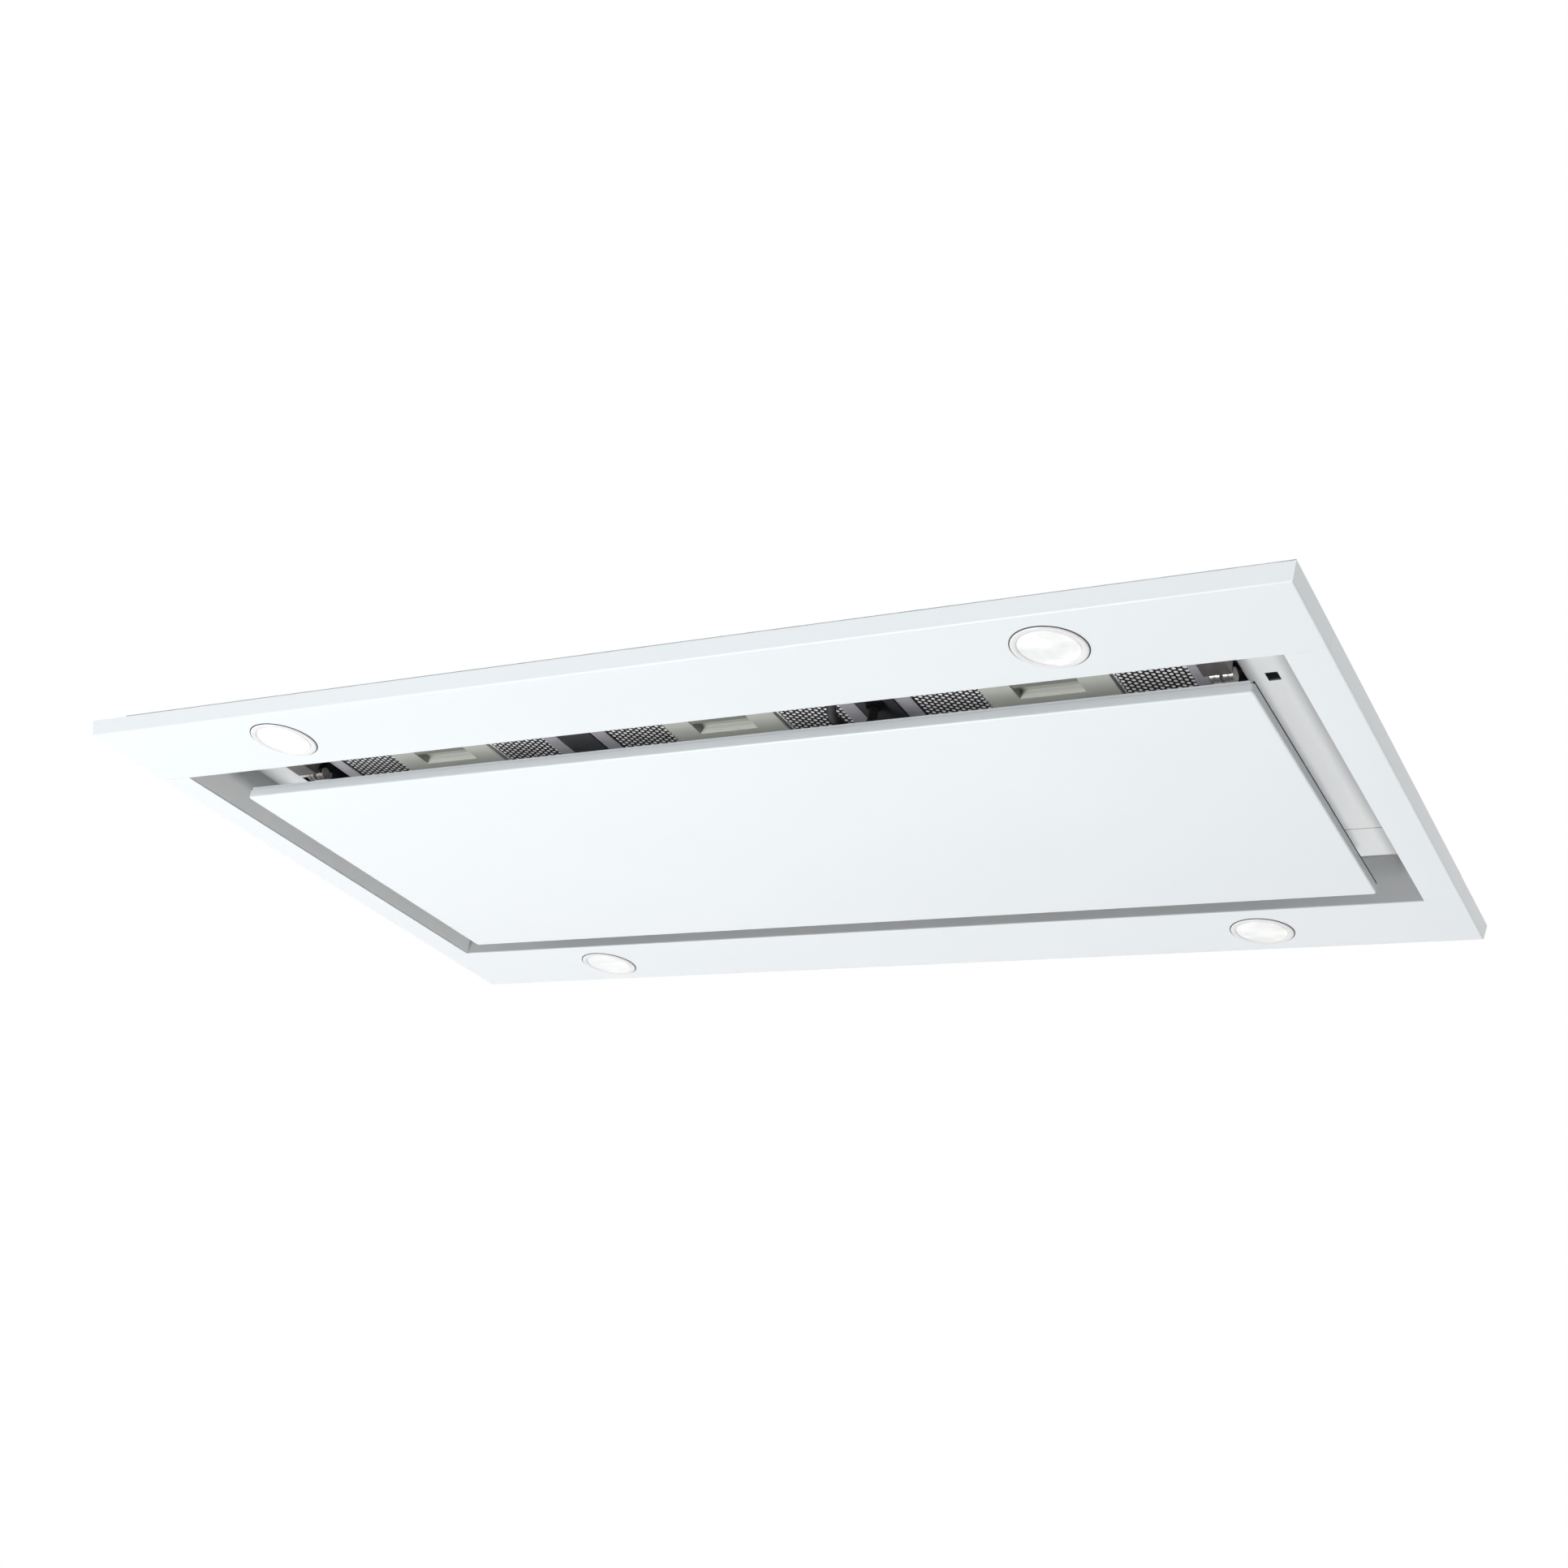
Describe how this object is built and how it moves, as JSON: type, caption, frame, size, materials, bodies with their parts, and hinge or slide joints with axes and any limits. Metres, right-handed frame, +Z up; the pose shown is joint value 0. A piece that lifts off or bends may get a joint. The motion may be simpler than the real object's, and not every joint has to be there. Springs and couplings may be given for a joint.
{
  "type": "ceiling range hood",
  "caption": "White ceiling range hood with a hinged perimeter-suction panel, spot lamps, metal grease filters, a blower and a round duct outlet.",
  "frame": {"origin": "centre of the ceiling plane that the rims of the frame touch, over the middle of the frame", "axes": "+Z up into the ceiling void, -Y towards the edge of the panel that swings down, +Y towards the panel's hinge and the duct outlet, +X to the right seen from below-near"},
  "size_m": [0.9, 0.5, 0.276],
  "materials": {
    "white_lacquer": "white powder-coated steel sheet, smooth satin gloss",
    "recess_steel": "satin grey coated steel sheet inside the recess",
    "galvanised_sheet": "galvanised steel sheet with a faint spangle",
    "dark_sheet": "dark grey coated steel strip",
    "catch_steel": "dark zinc-plated steel block",
    "filter_aluminium": "bare aluminium, rolled profile",
    "filter_mesh": "expanded aluminium mesh in layers",
    "grey_moulding": "moulded grey plastic, fine matt grain",
    "polished_steel": "polished steel",
    "lamp_rim": "satin white coated lamp rim",
    "lamp_lens": "frosted opal lens",
    "black_moulding": "black moulded plastic",
    "motor_enamel": "grey enamelled motor can",
    "black_rubber": "black rubber and cable jacket",
    "zinc_screw": "bright zinc-plated screws"
  },
  "bodies": {
    "housing": {"front_strip": "white_lacquer", "rear_strip": "white_lacquer", "left_strip": "white_lacquer", "right_strip": "white_lacquer", "recess_front": "recess_steel", "recess_rear": "recess_steel", "recess_left": "recess_steel", "recess_right": "recess_steel", "body_left": "galvanised_sheet", "body_right": "galvanised_sheet", "body_front": "galvanised_sheet", "body_rear": "galvanised_sheet", "body_top": "galvanised_sheet", "box_cover": "galvanised_sheet", "box_front": "galvanised_sheet", "box_rear": "galvanised_sheet", "inlet_ring": "galvanised_sheet", "scroll_housing": "black_moulding", "motor": "motor_enamel", "motor_plate": "galvanised_sheet", "motor_bushes": "black_rubber", "outlet_collar": "black_moulding", "flap_pin": "polished_steel", "control_box": "black_moulding", "hanger_brackets": "galvanised_sheet", "body_screws": "zinc_screw", "divider_left": "dark_sheet", "divider_right": "dark_sheet", "hinge_brackets": "galvanised_sheet", "hinge_pins": "polished_steel", "catch_blocks": "catch_steel", "lamp_bezels": "lamp_rim", "lamp_lenses": "lamp_lens", "lamp_cans": "galvanised_sheet", "panel_lead": "black_rubber", "lead_glands": "black_rubber"},
    "panel": {"panel_skin": "white_lacquer", "panel_back": "galvanised_sheet", "hinge_arm_left": "galvanised_sheet", "hinge_arm_right": "galvanised_sheet", "strikers": "galvanised_sheet"},
    "catch_roller_left": {"catch_plunger_left": "polished_steel"},
    "catch_roller_right": {"catch_plunger_right": "polished_steel"},
    "wheel": {"fan_wheel": "black_moulding", "motor_shaft": "polished_steel"},
    "flap_left": {"flap_left": "black_moulding"},
    "flap_right": {"flap_right": "black_moulding"},
    "filter_1": {"filter_1_frame": "filter_aluminium", "filter_1_mesh": "filter_mesh", "filter_1_latch": "grey_moulding"},
    "slider_1": {"filter_1_slider": "grey_moulding"},
    "filter_2": {"filter_2_frame": "filter_aluminium", "filter_2_mesh": "filter_mesh", "filter_2_latch": "grey_moulding"},
    "slider_2": {"filter_2_slider": "grey_moulding"},
    "filter_3": {"filter_3_frame": "filter_aluminium", "filter_3_mesh": "filter_mesh", "filter_3_latch": "grey_moulding"},
    "slider_3": {"filter_3_slider": "grey_moulding"}
  },
  "joints": [
    {"name": "panel_hinge", "type": "hinge", "parent": "housing", "child": "panel", "pos_m": [0, 0.144, 0.003], "axis": [1, 0, 0], "range_deg": [0, 90]},
    {"name": "filter_1_tilt", "type": "hinge", "parent": "housing", "child": "filter_1", "pos_m": [-0.244, 0.143, 0.0273], "axis": [1, 0, 0], "range_deg": [0, 5]},
    {"name": "filter_1_release", "type": "slide", "parent": "filter_1", "child": "slider_1", "axis": [0, 1, 0], "range_m": [0, 0.004], "stiffness_N_per_m": 800, "springref_m": -0.003},
    {"name": "filter_2_tilt", "type": "hinge", "parent": "housing", "child": "filter_2", "pos_m": [0, 0.143, 0.0273], "axis": [1, 0, 0], "range_deg": [0, 5]},
    {"name": "filter_2_release", "type": "slide", "parent": "filter_2", "child": "slider_2", "axis": [0, 1, 0], "range_m": [0, 0.004], "stiffness_N_per_m": 800, "springref_m": -0.003},
    {"name": "filter_3_tilt", "type": "hinge", "parent": "housing", "child": "filter_3", "pos_m": [0.244, 0.143, 0.0273], "axis": [1, 0, 0], "range_deg": [0, 5]},
    {"name": "filter_3_release", "type": "slide", "parent": "filter_3", "child": "slider_3", "axis": [0, 1, 0], "range_m": [0, 0.004], "stiffness_N_per_m": 800, "springref_m": -0.003},
    {"name": "catch_left", "type": "slide", "parent": "housing", "child": "catch_roller_left", "axis": [0, -1, 0], "range_m": [0, 0.003], "stiffness_N_per_m": 1500, "springref_m": -0.002},
    {"name": "catch_right", "type": "slide", "parent": "housing", "child": "catch_roller_right", "axis": [0, -1, 0], "range_m": [0, 0.003], "stiffness_N_per_m": 1500, "springref_m": -0.002},
    {"name": "fan_spin", "type": "hinge", "parent": "housing", "child": "wheel", "pos_m": [0, -0.015, 0.155], "axis": [0, 0, 1], "continuous": true},
    {"name": "flap_left_swing", "type": "hinge", "parent": "housing", "child": "flap_left", "pos_m": [0.047, 0.18, 0.1791], "axis": [0, 0, -1], "range_deg": [0, 75], "stiffness_Nm_per_rad": 0.02, "springref_deg": -17.19},
    {"name": "flap_right_swing", "type": "hinge", "parent": "housing", "child": "flap_right", "pos_m": [0.047, 0.18, 0.1791], "axis": [0, 0, 1], "range_deg": [0, 75], "stiffness_Nm_per_rad": 0.02, "springref_deg": -17.19}
  ]
}
